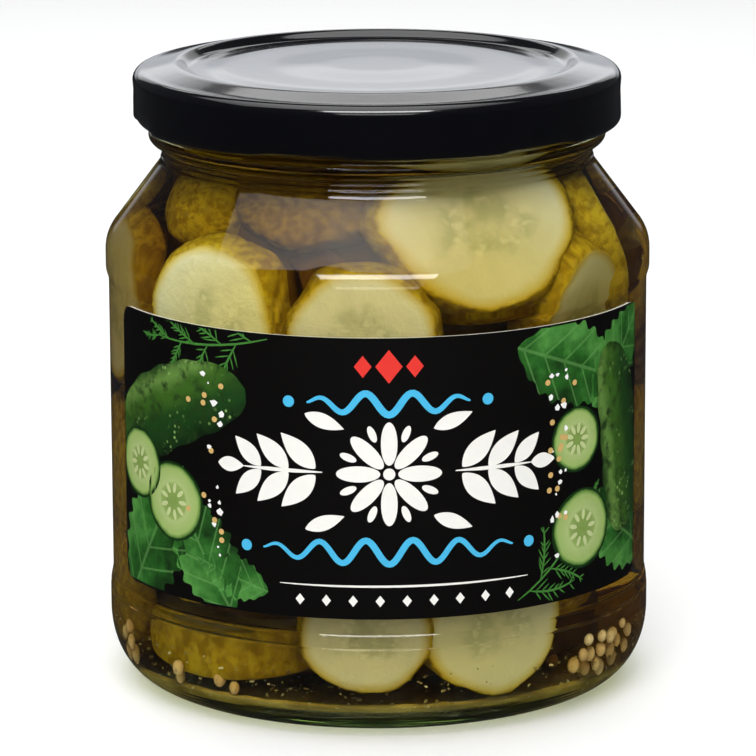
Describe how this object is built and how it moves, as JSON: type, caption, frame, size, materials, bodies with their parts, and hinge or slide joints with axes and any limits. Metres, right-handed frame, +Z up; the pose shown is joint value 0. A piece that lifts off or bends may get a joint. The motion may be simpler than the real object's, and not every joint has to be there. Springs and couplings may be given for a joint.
{
  "type": "pickle jar",
  "caption": "Shut round glass jar of sliced pickled cucumber in brine, with a low metal twist-off lid and a wide paper label round the front.",
  "frame": {"origin": "centre of the jar's foot, on the surface that it stands on", "axes": "+Z up along the jar's axis, -Y towards the middle of the label, +X to the right as the label is seen"},
  "size_m": [0.0962, 0.0962, 0.1107],
  "materials": {
    "clear_glass": "clear, glossy, with a very faint green cast",
    "black_lacquer": "gloss black lacquer on thin steel",
    "printed_paper": "smooth printed paper, black ground with green, white and blue shapes",
    "pickle_flesh": "wet pickled cucumber, pale flesh with a golden olive rind",
    "brine": "clear amber yellow brine",
    "mustard_seed": "smooth beige and orange mustard seed"
  },
  "bodies": {
    "root": {"glass_jar": "clear_glass", "lid": "black_lacquer", "label": "printed_paper", "pickle_slices": "pickle_flesh"}
  },
  "joints": []
}
